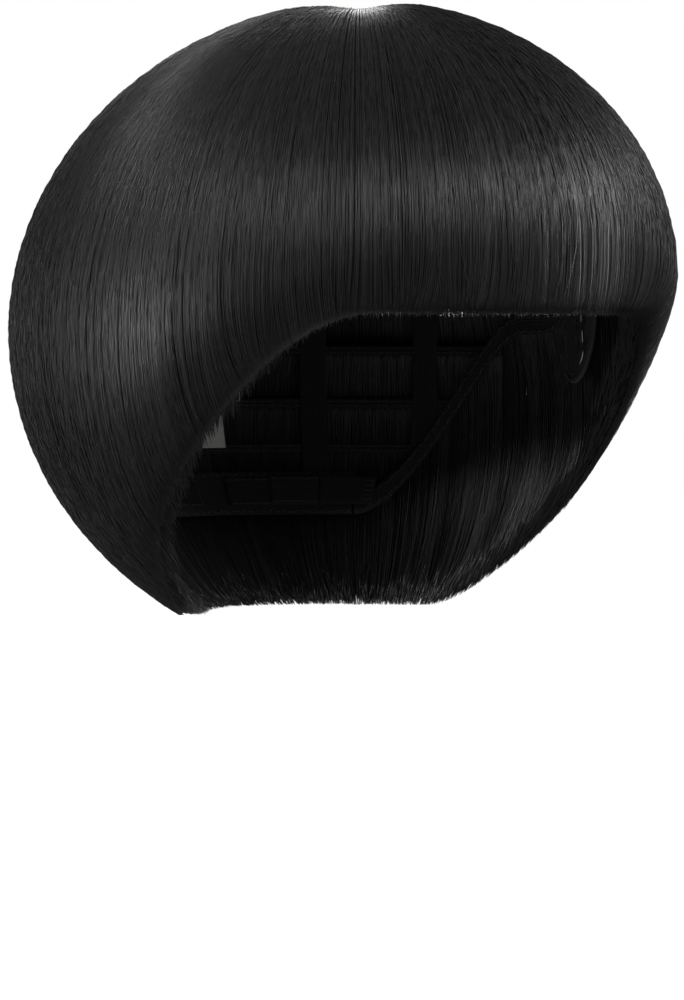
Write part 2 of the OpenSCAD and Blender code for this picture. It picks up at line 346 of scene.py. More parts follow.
def edge_tilt(a):
    side = from_front(a)
    front, ear, nape = EDGE_TILTS
    return (
        front
        + (ear - front) * smooth((side - EDGE_TEMPLE[0]) / EDGE_TEMPLE[1])
        + (nape - ear) * smooth((side - EDGE_EAR[0]) / EDGE_EAR[1])
    )


def rim_height(a):
    """Height of the hair's edge: level over the brow, then down behind the ears to the nape"""
    temple, span = 34, 86
    return mix(hair_sizes().fringe_edge, NAPE_EDGE, smooth((from_front(a) - temple) / span))


def rim_radius(a):
    front, side, back = hair_sizes().rim_depth
    return cap_radius(a, tilt_at(rim_height(a), HAIR_BASE), HAIR_BASE) + oval(a, side, front, back)


def full_radius(a):
    return oval(a, HAIR_WIDTH, HAIR_FRONT, HAIR_BACK)


def full_height(a):
    start, span = 10, 90
    sizes = hair_sizes()
    return mix(sizes.full_front, sizes.full_back, smooth((from_front(a) - start) / span))


def hair_outside(a, way):
    """The outer face of the hair: over the crown to the fullest line, then rolled under"""
    sizes = hair_sizes()
    curl = math.degrees(sizes.curl)
    turn = way * (90 + curl)
    over = np.clip(turn, 0, 90)
    roll = np.clip(turn - 90, 0, None)
    power = 2 / sizes.roundness
    full_r = full_radius(a)
    centre = (rim_radius(a) - full_r * cos_deg(curl)) / (1 - cos_deg(curl))
    r = np.where(
        turn < 90, full_r * sin_deg(over) ** power, mix(centre, full_r, cos_deg(roll))
    )
    z = np.where(
        turn < 90,
        mix(full_height(a), CAP_RISE + sizes.crown_depth, np.maximum(cos_deg(over), 0) ** power),
        mix(full_height(a), rim_height(a), sin_deg(roll) / sin_deg(curl)),
    )
    return place(a, r, z - sizes.dip_depth * np.exp(-((r / sizes.dip_radius) ** 2)))


def hair_inside(a, way):
    return cap_point(a, way * tilt_at(rim_height(a), HAIR_BASE), HAIR_BASE)


def hair_point(a, way, share):
    """way runs from the whorl to the rim, and share from the cap out to the hair's outside"""
    share = np.asarray(share)[..., None]
    return mix(hair_inside(a, way), hair_outside(a, way), share)


def wander(a, seed, count=24, lowest=3, highest=160):
    """A smooth random wave of the azimuth that closes on itself, from about -1 to 1"""
    rng = np.random.default_rng(seed)
    waves = rng.integers(lowest, highest, count)
    phases = rng.uniform(0, 2 * np.pi, count)
    turns = np.radians(np.asarray(a, float))[..., None]
    return np.sin(turns * waves + phases).sum(-1) / math.sqrt(count)


# ---------------------------------------------------------------- meshes


def mesh_piece(name, points, quads, triangles=None, uv=None, uv_name=CLOTH_UV):
    """A smooth mesh; uv holds one pair for each corner, quads first"""
    faces = [np.asarray(quads, np.int32).reshape(-1, 4)]
    if triangles is not None and len(triangles):
        faces.append(np.asarray(triangles, np.int32).reshape(-1, 3))
    mesh = bpy.data.meshes.new(name)
    points = np.asarray(points, np.float32).reshape(-1, 3)
    mesh.vertices.add(len(points))
    mesh.vertices.foreach_set("co", points.ravel())
    corners = np.concatenate([f.ravel() for f in faces])
    sizes = np.concatenate([np.full(len(f), f.shape[1], np.int32) for f in faces])
    starts = np.concatenate([[0], np.cumsum(sizes)[:-1]]).astype(np.int32)
    mesh.loops.add(len(corners))
    mesh.loops.foreach_set("vertex_index", corners)
    mesh.polygons.add(len(sizes))
    mesh.polygons.foreach_set("loop_start", starts)
    mesh.update(calc_edges=True)
    mesh.polygons.foreach_set("use_smooth", np.ones(len(sizes), bool))
    if uv is not None:
        layer = mesh.uv_layers.new(name=uv_name)
        layer.data.foreach_set("uv", np.asarray(uv, np.float32).ravel())
    obj = bpy.data.objects.new(name, mesh)
    bpy.context.collection.objects.link(obj)
    return obj


def unit(v):
    return v / np.maximum(np.linalg.norm(v, axis=-1, keepdims=True), 1e-12)


def tubes(name, paths, widths, reference, sides=3):
    """Closed tubes along (n, k, 3) paths; reference (n, 3) lies across each path"""
    n, k, _ = paths.shape
    along = unit(np.gradient(paths, axis=1))
    across = np.broadcast_to(reference[:, None, :], paths.shape)
    across = unit(across - along * (across * along).sum(-1, keepdims=True))
    out = np.cross(along, across)
    angles = np.arange(sides) * 2 * np.pi / sides
    ring = np.cos(angles)[:, None] * across[:, :, None, :]
    ring = ring + np.sin(angles)[:, None] * out[:, :, None, :]
    radii = np.broadcast_to(widths / 2, (n, k))[:, :, None, None]
    points = paths[:, :, None, :] + radii * ring
    index = np.arange(n * k * sides).reshape(n, k, sides)
    here, there = index[:, :-1], index[:, 1:]
    quads = np.stack([here, np.roll(here, -1, 2), np.roll(there, -1, 2), there], axis=-1)
    fan = np.arange(1, sides - 1)
    first = np.stack([np.broadcast_to(index[:, 0, :1], (n, sides - 2)),
                      index[:, 0, fan + 1], index[:, 0, fan]], axis=-1)
    last = np.stack([np.broadcast_to(index[:, -1, :1], (n, sides - 2)),
                     index[:, -1, fan], index[:, -1, fan + 1]], axis=-1)
    margin, filled = 0.1, 0.8
    column = (np.arange(n)[:, None, None] + margin + filled * np.arange(sides) / sides) / n
    next_column = column + filled / sides / n
    height = np.arange(k - 1)[None, :, None] / (k - 1)
    step = 1 / (k - 1)
    u = np.broadcast_arrays(column, next_column, next_column, column, height)[:4]
    v = np.broadcast_arrays(height, height, height + step, height + step, column)[:4]
    uv = np.stack([np.stack(u, -1), np.stack(v, -1)], -1).reshape(-1, 2)
    ends = np.concatenate([first.reshape(-1, 3), last.reshape(-1, 3)])
    middle = (np.arange(n) + 0.5) / n
    end_u = np.tile(np.repeat(middle, 3 * (sides - 2)), 2)
    end_v = np.repeat([0.0, 1.0], n * 3 * (sides - 2))
    uv = np.concatenate([uv, np.stack([end_u, end_v], -1)])
    return mesh_piece(name, points, quads, ends, uv, FIBRE_UV)


def shell(name, top, base, uv=None, ring=False):
    """The closed solid between two grids of points; uv gives each grid point's place in metres"""
    rows, cols, _ = top.shape
    index = np.arange(rows * cols).reshape(rows, cols)
    under = index + rows * cols
    if ring:
        index = np.concatenate([index, index[:, :1]], axis=1)
        under = np.concatenate([under, under[:, :1]], axis=1)

    def cells(i, flip):
        quad = [i[:-1, :-1], i[:-1, 1:], i[1:, 1:], i[1:, :-1]]
        return np.stack(quad[::-1] if flip else quad, -1).reshape(-1, 4)

    def wall(a, b):
        return np.stack([a[1:], a[:-1], b[:-1], b[1:]], -1)

    quads = [cells(index, False), cells(under, True)]
    quads += [wall(index[0], under[0]), wall(index[-1][::-1], under[-1][::-1])]
    if not ring:
        quads += [wall(index[::-1, 0], under[::-1, 0]), wall(index[:, -1], under[:, -1])]
    quads = np.concatenate(quads)
    if uv is not None:
        flat = np.concatenate([uv.reshape(-1, 2), uv.reshape(-1, 2)])
        uv = flat[quads.ravel()]
    points = np.concatenate([top.reshape(-1, 3), base.reshape(-1, 3)])
    return mesh_piece(name, points, quads, uv=uv)


def finish_piece(obj, material, nodes=(), body=BODY):
    """Gives a piece its material, hides the CAD nodes that it stands for, and lets it ride on its
    body, if it has one
    """
    obj.data.materials.append(material)
    if nodes:
        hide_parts(*nodes)
    if body:
        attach(obj, body)
    return obj


# ---------------------------------------------------------------- materials


class Finish:
    """A material under construction: a Principled surface and the nodes that feed it"""

    def __init__(self, name, roughness=0.6, **sockets):
        self.material = bpy.data.materials.new(name)
        self.material.use_nodes = True
        self.tree = self.material.node_tree
        self.surface = self.tree.nodes["Principled BSDF"]
        self.surface.inputs["Roughness"].default_value = roughness
        for socket, value in sockets.items():
            self.surface.inputs[socket.replace("_", " ")].default_value = value

    def add(self, kind, inputs=None, **settings):
        node = self.tree.nodes.new("ShaderNode" + kind)
        for key, value in settings.items():
            setattr(node, key, value)
        for key, value in (inputs or {}).items():
            if isinstance(value, bpy.types.NodeSocket):
                self.tree.links.new(value, node.inputs[key])
            else:
                node.inputs[key].default_value = value
        return node

    def noise(self, scale, detail=2.0, vector=None):
        inputs = {"Scale": scale, "Detail": detail}
        if vector is not None:
            inputs["Vector"] = vector
        return self.add("TexNoise", inputs).outputs["Fac"]

    def flat_place(self, uv_map):
        """The two coordinates of the piece's own flat map"""
        uv = self.add("UVMap", uv_map=uv_map).outputs["UV"]
        return self.add("SeparateXYZ", {"Vector": uv}).outputs[:2]

    def math(self, operation, a, b=0.0):
        return self.add("Math", {0: a, 1: b}, operation=operation).outputs[0]

    def span(self, value, low_end, high_end):
        node = self.add("MapRange", {"Value": value, "To Min": low_end, "To Max": high_end})
        return node.outputs["Result"]

    def ramp(self, value, colours):
        node = self.add("ValToRGB", {"Fac": value})
        stops = node.color_ramp.elements
        for i, (position, colour) in enumerate(colours):
            stop = stops[i] if i < 2 else stops.new(position)
            stop.position = position
            stop.color = (*colour, 1)
        return node.outputs["Color"]

    def feed(self, socket, value):
        self.tree.links.new(value, self.surface.inputs[socket])

    def bump(self, height, strength, distance):
        node = self.add("Bump", {"Height": height, "Strength": strength, "Distance": distance})
        self.feed("Normal", node.outputs["Normal"])


def shade(colour, factor):
    return tuple(min(1.0, c * factor) for c in colour)


def fibre_finish(name, strands, painted_shade_factor=1.0):
    """Glossy synthetic fibre: each strand has its own tone, and the tips are a little browner. A
    factor under 1 darkens both tones as painted shade.
    """
    strands_in_lock, own_weight = 14, 0.55
    tip_start, tip_strength, warm = 0.975, 0.4, (0.014, 0.010, 0.008, 1)
    sizes = hair_sizes()
    finish = Finish(name, 0.38, Specular_IOR_Level=0.5)
    column, height = finish.flat_place(FIBRE_UV)
    strand = finish.math("FLOOR", finish.math("MULTIPLY", column, strands))
    own_tone = finish.add("TexWhiteNoise", {"W": strand}, noise_dimensions="1D").outputs["Value"]
    place_in_lock = finish.add("CombineXYZ", {
        "X": finish.math("MULTIPLY", column, strands / strands_in_lock),
        "Y": finish.math("MULTIPLY", height, 3.0),
    }).outputs["Vector"]
    lock_tone = finish.noise(1.0, 3.0, place_in_lock)
    tone = finish.math(
        "ADD", finish.math("MULTIPLY", own_tone, own_weight),
        finish.math("MULTIPLY", lock_tone, 1 - own_weight),
    )
    # Painted shade: both tones are scaled down by the factor
    dark = shade(sizes.dark, painted_shade_factor)
    light = shade(sizes.light, painted_shade_factor)
    colour = finish.ramp(tone, [(0.15, dark), (0.85, light)])
    tip = finish.math("MULTIPLY", finish.math("GREATER_THAN", height, tip_start), tip_strength)
    tipped = finish.add("Mix", {"Factor": tip, "A": colour, "B": warm}, data_type="RGBA")
    finish.feed("Base Color", tipped.outputs["Result"])
    finish.feed("Roughness", finish.span(tone, 0.30, 0.46))
    grain = finish.noise(2600.0)
    finish.bump(grain, 0.15, 0.00004)
    return finish.material


def woven_finish(name, colour, thread_pitch, roughness=0.85, sheen=0.25):
    """A narrow weave: fine threads across, uneven dye, and a soft sheen"""
    finish = Finish(
        name, roughness, Sheen_Weight=sheen, Sheen_Roughness=0.4, Specular_IOR_Level=0.3
    )
    along, across = finish.flat_place(CLOTH_UV)
    turns = 2 * math.pi / thread_pitch
    warp = finish.math("SINE", finish.math("MULTIPLY", along, turns))
    weft = finish.math("SINE", finish.math("MULTIPLY", across, turns))
    weave = finish.math("MULTIPLY", warp, weft)
    mottle = finish.noise(260.0, 4.0)
    tone = finish.math("ADD", finish.math("MULTIPLY", weave, 0.22), mottle)
    finish.feed(
        "Base Color",
        finish.ramp(tone, [(0.25, shade(colour, 0.55)), (0.85, shade(colour, 1.8))]),
    )
    finish.feed("Roughness", finish.span(tone, roughness - 0.12, roughness + 0.08))
    finish.bump(tone, 0.5, 0.00012)
    return finish.material


def pile_finish(name, colour):
    """The nylon of the hook and loop tapes, which glints a little"""
    finish = Finish(name, 0.5)
    grain = finish.noise(1400.0, 3.0)
    finish.feed(
        "Base Color",
        finish.ramp(grain, [(0.3, shade(colour, 0.6)), (0.75, shade(colour, 2.0))]),
    )
    finish.feed("Roughness", finish.span(grain, 0.4, 0.65))
    finish.bump(grain, 0.3, 0.00006)
    return finish.material


def thread_finish(name, colour):
    """Twisted sewing thread"""
    finish = Finish(name, 0.6, Sheen_Weight=0.2)
    height = finish.flat_place(FIBRE_UV)[1]
    twist = finish.math("SINE", finish.math("MULTIPLY", height, 40.0))
    grain = finish.noise(900.0)
    tone = finish.math("ADD", finish.math("MULTIPLY", twist, 0.15), grain)
    finish.feed(
        "Base Color",
        finish.ramp(tone, [(0.3, shade(colour, 0.7)), (0.8, shade(colour, 1.6))]),
    )
    finish.bump(twist, 0.4, 0.00005)
    return finish.material


def steel_finish(name):
    """The stay's drawn strip: fine lines along it, and a few dull spots"""
    finish = Finish(name, 0.3, Metallic=1.0)
    place_on_it = finish.add("TexCoord").outputs["Object"]
    stretched = finish.add("Mapping", {"Vector": place_on_it, "Scale": (3000, 3000, 120)})
    lines = finish.noise(1.0, vector=stretched.outputs["Vector"])
    finish.feed(
        "Base Color", finish.ramp(lines, [(0.3, (0.45, 0.46, 0.48)), (0.7, (0.68, 0.69, 0.71))])
    )
    finish.feed("Roughness", finish.span(lines, 0.22, 0.42))
    finish.bump(lines, 0.15, 0.00003)
    return finish.material


# ---------------------------------------------------------------- hair


def paths_of(azimuths, starts, ends, shares, rise, steps, rng, drift=1.0):
    """Strand paths: each leaves the cap at its start and rises to its own share of the depth.
    A few are loose, and stand off the rest."""
    shuffle, sway, spread = 0.42, 0.7, 0.32
    least_lift, most_lift, loose_lean = 0.006, 0.035, 3.5
    lift_from, lift_over = 0.35, 0.5
    n = len(azimuths)
    gaps = np.minimum(np.diff(steps)[1:], np.diff(steps)[:-1])
    jitter = np.zeros((n, len(steps)))
    jitter[:, 1:-1] = rng.uniform(-shuffle, shuffle, (n, 1)) * gaps
    steps = steps + jitter
    way = mix(starts[:, None], ends[:, None], steps)
    share = shares[:, None] * ease_out((way - starts[:, None]) / rise)
    swing = wander(azimuths, 11, highest=48) * sway * drift
    stray = rng.normal(0, spread, n) * drift
    a = azimuths[:, None] + swing[:, None] * np.sin(np.pi * steps) + stray[:, None] * steps
    loose = rng.random(n) < hair_sizes().flyaway_share
    lift = np.where(loose, rng.uniform(least_lift, most_lift, n), 0)
    lean = np.where(loose, rng.normal(0, loose_lean, n), 0)
    a = a + lean[:, None] * steps**1.5
    share = share + lift[:, None] * smooth((steps - lift_from) / lift_over) * (share > 0)
    return hair_point(a, way, share)


def crease(points):
    """The slight parting across the whorl, where the hair falls to either side"""
    depth, width, reach, fade = 0.0022, 0.009, 0.045, 0.012
    azimuth = math.radians(-37)
    across = points[..., X] * math.cos(azimuth) + points[..., Y] * math.sin(azimuth)
    radius = np.hypot(points[..., X], points[..., Y])
    high_up = smooth((points[..., Z] - CAP_RISE) / fade)
    points[..., Z] -= (
        depth * np.exp(-((across / width) ** 2)) * np.exp(-((radius / reach) ** 2)) * high_up
    )
    return points


def strand_widths(n, k, rng):
    """Strands differ a little in width, and each one narrows at its tip"""
    taper_start, taper_share = 0.88, 0.6
    along = np.linspace(0, 1, k)
    taper = 1 - taper_share * smooth((along - taper_start) / (1 - taper_start))
    return hair_sizes().strand_width * rng.uniform(0.7, 1.2, n)[:, None] * taper[None, :]


def side_reference(azimuths):
    """Directions along the head's circumference, across strands that hang at these azimuths"""
    return np.stack([cos_deg(azimuths), sin_deg(azimuths), np.zeros(len(azimuths))], -1)


def crown_lock(place_name, seed):
    """One lock of the crown hair, from the whorl patch to the rim: fine strands over fuller ones"""
    node = "crown_hair_" + place_name
    divide = 0.35
    crown_layer(node + "_strands", place_name, seed, 0.0, divide, 1.0, [node])
    crown_layer(node + "_underlayer", place_name, seed + 50, divide, 1.0, 1.5, [])


def gather(azimuths):
    """Draws strands into narrow clumps, and gives how near each one lies to its clump's edge"""
    pull, count, least, most = 0.12, 250, 0.6, 2.2
    widths = np.random.default_rng(7).uniform(least, most, count)
    edges = np.concatenate([[0], np.cumsum(widths)]) * 360 / widths.sum()
    clump = np.clip(np.searchsorted(edges, azimuths) - 1, 0, len(widths) - 1)
    middle = (edges[clump] + edges[clump + 1]) / 2
    half = (edges[clump + 1] - edges[clump]) / 2
    return mix(azimuths, middle, pull), np.abs(azimuths - middle) / half


def crown_layer(name, place_name, seed, least, most, fullness, nodes):
    """A layer of strands that lie between two levels under the hair's outside"""
    first_root, root_span, rise = 0.012, 0.13, 0.075
    end_middle, end_spread = -0.004, 0.012
    outer_share, wave, notch = 0.985, 0.005, 0.016
    rng = np.random.default_rng(seed)
    n = hair_sizes().lock_strands
    first = CROWN_LOCKS[place_name]
    azimuths = np.sort(first + LOCK_SPAN * (np.arange(n) + rng.uniform(0, 1, n)) / n)
    azimuths, edge_nearness = gather(azimuths)
    level = mix(least, most, rng.random(n) ** 1.3)
    starts = first_root + root_span * level
    ends = 1.0 + np.clip(rng.normal(end_middle, end_spread, n), -0.05, 0.014)
    clump_depth = notch * edge_nearness**4
    shares = outer_share - 0.7 * CROWN_SHARE * level + wave * wander(azimuths, 5) - clump_depth
    root = np.array([0, 0.010, 0.025, 0.05, 0.08])
    steps = np.concatenate([root, np.linspace(0.13, 1, 13)])
    paths = crease(paths_of(azimuths, starts, ends, shares, rise, steps, rng))
    widths = strand_widths(n, len(steps), rng) * fullness
    obj = tubes(name, paths, widths, side_reference(azimuths))
    return finish_piece(obj, fibre_finish(name + "_fibre", n), nodes)


def weft(node, first, last, track, low_share, high_share, seed):
    """One row of sewn hair: the strands, and the header that they are sewn to"""
    end_middle, end_spread = -0.008, 0.014
    # The weft fibre is painted 20% darker than the crown hair, as painted shade for the hair under
    # the crown hair
    inner_gap, drift, fullness, painted_shade_factor = 0.01, 1.4, 1.5, 0.8
    rng = np.random.default_rng(seed)
    middle = (first + last) / 2
    arc = math.radians(last - first) * float(cap_radius(middle, 90, HAIR_BASE))
    n = int(arc * 100 * hair_sizes().weft_density)
    azimuths = np.sort(mix(first, last, (np.arange(n) + rng.uniform(0, 1, n)) / n))
    starts = track(azimuths) / tilt_at(rim_height(azimuths), HAIR_BASE)
    ends = 1.0 + np.clip(rng.normal(end_middle, end_spread, n), -0.06, 0.012)
    shares = rng.uniform(low_share + inner_gap, high_share, n)
    steps = np.concatenate([[0, 0.03, 0.08], np.linspace(0.16, 1, 9)])
    paths = paths_of(azimuths, starts, ends, shares, WEFT_RISE, steps, rng, drift)
    widths = fullness * strand_widths(n, len(steps), rng)
    obj = tubes(node + "_strands", paths, widths, side_reference(azimuths))
    finish_piece(obj, fibre_finish(node + "_fibre", n, painted_shade_factor), [node])
    weft_header(node, first, last, track)


def weft_header(node, first, last, track):
    """The narrow sewn band at a weft's roots, with its two rows of stitches"""
    half_width = 0.0016
    base = RIBBON_TOP + 0.0001
    top = base + 0.0006

    def surface(s, t, off):
        a = mix(first, last, s)
        return cap_point(a, track(a) + np.degrees(t * half_width / CAP_LENGTH), off)

    arc = math.radians(last - first) * CAP_WIDTH
    cloth_band(node + "_header", surface, arc, 2 * half_width, base, top, ribs=3)
    stitch_rows(node + "_header_stitches", surface, arc, (-0.45, 0.45), base, -1)


# ---------------------------------------------------------------- bands and stitches


def cloth_band(name, surface, length, width, base, top, ribs=0, gather=0.0, nodes=(),
               body=BODY, colour=None):
    """An elastic or tape: ribs run along it, its edges are rounded, and it may be gathered"""
    end_zone, row_pitch, ruffle_pitch = 0.0012, 0.0011, 0.0034
    sizes = cap_sizes()
    colour = colour or tuple(sizes.cloth)
    ribs = ribs or max(3, int(width / sizes.rib_pitch))
    across = np.linspace(-1, 1, ribs * 6 + 1)
    along = 0.5 - 0.5 * np.cos(np.linspace(0, np.pi, 9))
    near_end = along * end_zone / length
    inner_start = (end_zone + 0.0004) / length
    inner = np.linspace(inner_start, 1 - inner_start, max(12, int(length / row_pitch)))
    along = np.concatenate([near_end, inner, 1 - near_end[::-1]])
    s, t = np.meshgrid(along, across, indexing="ij")
    rib = sizes.rib_depth * np.cos(np.pi * t * ribs)
    from_end = np.minimum(s, 1 - s) * length
    edge = 0.7 * np.maximum(smooth((np.abs(t) - 0.9) / 0.1), 1 - smooth(from_end / 0.0006))
    middle, half = (base + top) / 2, (top - base) / 2
    unevenness = 0.7 + 0.3 * np.cos(5 * t + 9 * s)
    ruffle = gather * np.sin(2 * np.pi * s * length / ruffle_pitch) * unevenness
    rise = half * (1 - edge) + rib * (1 - edge) - sizes.rib_depth
    obj = shell(
        name, surface(s, t, middle + rise + ruffle), surface(s, t, middle - rise + ruffle),
        np.stack([s * length, t * width / 2], -1),
    )
    return finish_piece(obj, woven_finish(name + "_weave", colour, 0.0005), nodes, body)


def stitch_rows(name, surface, length, rows, off, outwards, body=BODY, zigzag=0.0,
                colour=None):
    """Rows of short stitches that dip into the cloth at both ends; zigzag leans them across"""
    sizes = cap_sizes()
    colour = colour or shade(sizes.cloth, 2.2)
    count = max(2, int(length / sizes.stitch))
    start = (np.arange(count) + 0.12) / count
    reach = 0.76 / count
    bend = np.array([0, 0.18, 0.5, 0.82, 1])
    height = sizes.thread * np.array([-0.6, 0.3, 0.45, 0.3, -0.6]) * outwards
    groups = []
    for row in rows:
        s = start[:, None] + reach * bend[None, :]
        lean = np.where(np.arange(count) % 2 == 0, 1, -1)[:, None] * zigzag
        t = row + lean * (2 * bend[None, :] - 1)
        groups.append(surface(s, t, off + height[None, :] + 0 * s))
    paths = np.concatenate(groups)
    nudge = 1e-3
    flat_s = np.tile(start, len(rows))
    flat_t = np.repeat(rows, count)
    reference = unit(surface(flat_s, flat_t + nudge, off) - surface(flat_s, flat_t, off))
    obj = tubes(name, paths, np.full(paths.shape[:2], sizes.thread), reference, sides=5)
    return finish_piece(obj, thread_finish(name + "_thread", colour), body=body)


def cap_bands():
    """The bands sewn to the cap: name, surface, length, width, base, top and gather"""
    sizes = cap_sizes()
    tape = (TAPE_BASE, TAPE_TOP)
    ribbon = (RIBBON_BASE, RIBBON_TOP)
    mean_radius = (CAP_WIDTH + CAP_RISE) / 2

    def edge_strip(first, last, width, radius):
        span = np.degrees(width / radius)

        def surface(s, t, off):
            a = mix(first, last, s)
            return cap_point(a, edge_tilt(a) - span * (1 - t) / 2, off)

        return surface

    def ribbon_strip(a):
        top_tilt = NET_TILT_BACK - 6
        half = np.degrees(sizes.ribbon_width / 2 / CAP_WIDTH)

        def surface(s, t, off):
            foot_tilt = edge_tilt(a + half * t) - 1.5
            tilt = mix(top_tilt, foot_tilt, s)
            spread = np.degrees(sizes.ribbon_width / 2 / cap_radius(a, tilt, off))
            return cap_point(a + spread * t, tilt, off)

        return surface

    front_arc = math.radians(2 * BAND_END) * CAP_LENGTH * 0.85
    side_arc = math.radians(EDGE_END - BAND_END) * CAP_WIDTH * 1.15
    nape_arc = math.radians(360 - 2 * EDGE_END) * CAP_LENGTH * 0.84
    front_radius = (CAP_LENGTH + CAP_RISE) / 2
    front = edge_strip(-BAND_END, BAND_END, sizes.front_width, front_radius)
    nape_width = STRAP_HEIGHT + 2 * SEAM
    nape = edge_strip(EDGE_END, 360 - EDGE_END, nape_width, CAP_DROP)
    yield "front_band", front, front_arc, sizes.front_width, *tape, 0
    yield "nape_band", nape, nape_arc, nape_width, *tape, 0
    for side, sign in SIDES.items():
        binding = edge_strip(
            sign * (BAND_END + 0.5), sign * (EDGE_END - 0.5), sizes.binding_width, mean_radius
        )
        yield "ear_binding_" + side, binding, side_arc, sizes.binding_width, *tape, 0.00008
    for name, a in RIBBONS.items():
        length = math.radians(float(edge_tilt(a)) - NET_TILT_BACK + 5) * CAP_DROP
        yield name, ribbon_strip(a), length, sizes.ribbon_width, *ribbon, 0.00010


# ---------------------------------------------------------------- cloth pieces of the cap


def cloth_area(obj):
    """Flat area of a closed thin cloth, which is half of its surface"""
    areas = np.empty(len(obj.data.polygons), np.float32)
    obj.data.polygons.foreach_get("area", areas)
    return float(areas.sum()) / 2


def net_edge(a):
    """Tilt of the net's edge: the cap's edge over the brow, and high above the back wefts"""
    fade = 30
    return mix(edge_tilt(a), NET_TILT_BACK, smooth((from_front(a) - FRINGE_END) / fade))


def build_net():
    """The crown net: a thin stretched cloth, and the knitted cells that stand on it"""
    first_tilt = math.degrees(math.asin(PATCH_RADIUS * 0.6 / CAP_LENGTH))
    a, k = np.meshgrid(np.arange(0, 360, 1.5), np.linspace(0, 1, 41))
    tilt = mix(first_tilt, net_edge(a), k)
    middle = (NET_BASE + NET_TOP) / 2
    cloth = shell(
        "crown_net_cloth", cap_point(a, tilt, NET_TOP), cap_point(a, tilt, middle),
        np.stack([np.radians(a) * CAP_WIDTH, np.radians(tilt) * CAP_RISE], -1), ring=True,
    )
    colour = tuple(cap_sizes().cloth)
    finish_piece(cloth, woven_finish("crown_net_weave", colour, 0.0004), ["crown_net"])
    threads = net_threads(middle)
    area = cloth_area(cloth)


def net_threads(middle):
    """Six-sided knitted cells, laid flat from the crown outwards"""
    sizes = cap_sizes()
    cell = sizes.net_cell
    mean_radius, reach, first_tilt = 0.09, 0.15, 9
    rows = int(reach / cell)
    i, j = np.meshgrid(np.arange(-rows, rows + 1), np.arange(-rows, rows + 1))
    centre_x = (cell * (i + 0.5 * (j % 2))).ravel()
    centre_y = (cell * math.sqrt(3) / 2 * j).ravel()
    corner = np.radians(np.arange(4) * 60 - 90)
    x = centre_x[:, None] + cell / math.sqrt(3) * np.cos(corner)
    y = centre_y[:, None] + cell / math.sqrt(3) * np.sin(corner)
    start = np.stack([x[:, :-1], y[:, :-1]], -1).reshape(-1, 2)
    end = np.stack([x[:, 1:], y[:, 1:]], -1).reshape(-1, 2)
    flat = np.stack([start, end], 1)
    tilt = np.degrees(np.hypot(flat[..., 0], flat[..., 1]) / mean_radius)
    a = np.degrees(np.arctan2(flat[..., 0], -flat[..., 1]))
    inside = ((tilt > first_tilt) & (tilt < net_edge(a) - 0.5)).all(-1)
    paths = cap_point(a[inside], tilt[inside], middle - sizes.net_thread * 0.3)
    reference = unit(np.cross(paths[:, 1] - paths[:, 0], paths[:, 0]))
    obj = tubes("crown_net_threads", paths, np.full(paths.shape[:2], sizes.net_thread), reference)
    return finish_piece(obj, thread_finish("crown_net_thread", shade(sizes.cloth, 1.6)))


def build_patch():
    """The round patch that closes the net's hole at the whorl, with a stitched edge"""
    r, a = np.meshgrid(np.linspace(0.002, 1, 24), np.arange(0, 360, 4), indexing="ij")
    tilt = np.degrees(r * PATCH_RADIUS / CAP_LENGTH)
    patch = shell(
        "whorl_patch_cloth", cap_point(a, tilt, RIBBON_TOP), cap_point(a, tilt, RIBBON_BASE),
        np.stack([r * sin_deg(a), r * cos_deg(a)], -1) * PATCH_RADIUS, ring=True,
    )
    colour = tuple(cap_sizes().cloth)
    finish_piece(patch, woven_finish("whorl_patch_weave", colour, 0.0005), ["whorl_patch"])

    def rim(s, t, off):
        return cap_point(360 * s, np.degrees(PATCH_RADIUS * (0.9 + 0.05 * t) / CAP_LENGTH), off)

    stitches = stitch_rows("whorl_patch_stitches", rim, 2 * math.pi * PATCH_RADIUS, (0,),
                           RIBBON_TOP, 1)
    cloth_area(patch)


def build_bands():
    """The front band, ear bindings, nape band and ribbons, each with its rows of stitches"""
    inset, lean = 0.0012, 0.0008
    for name, surface, length, width, base, top, gather in cap_bands():
        band = cloth_band(name + "_cloth", surface, length, width, base, top,
                          gather=gather, nodes=[name])
        edge = 1 - 2 * inset / width
        outside = name.startswith("ribbon")
        stitches = stitch_rows(
            name + "_stitches", surface, length, (-edge, edge), top if outside else base,
            1 if outside else -1, zigzag=lean / width,
        )
        if width > SMALLEST_SHEET:
            min(cloth_area(band), width * length)


# ---------------------------------------------------------------- ear tabs


def tab_surface(sign):
    """The tab's cloth: s runs across it, and t from its straight top edge to its round end"""
    middle = TAB_AZIMUTH
    half = math.degrees(TAB_WIDTH / 2 / CAP_WIDTH)
    slope = (edge_tilt(middle + half) - edge_tilt(middle - half)) / (2 * half)
    top = float(edge_tilt(middle)) + math.degrees(MOVING_GAP / CAP_RISE)
    length = math.degrees(cap_sizes().tab_length / CAP_RISE)

    def surface(s, t, off):
        u = 2 * s - 1
        hang = length * np.sqrt(1 - 0.75 * np.clip(u, -1, 1) ** 2)
        a = middle + half * u
        return cap_point(sign * a, top + slope * half * u + hang * t, off)

    return surface


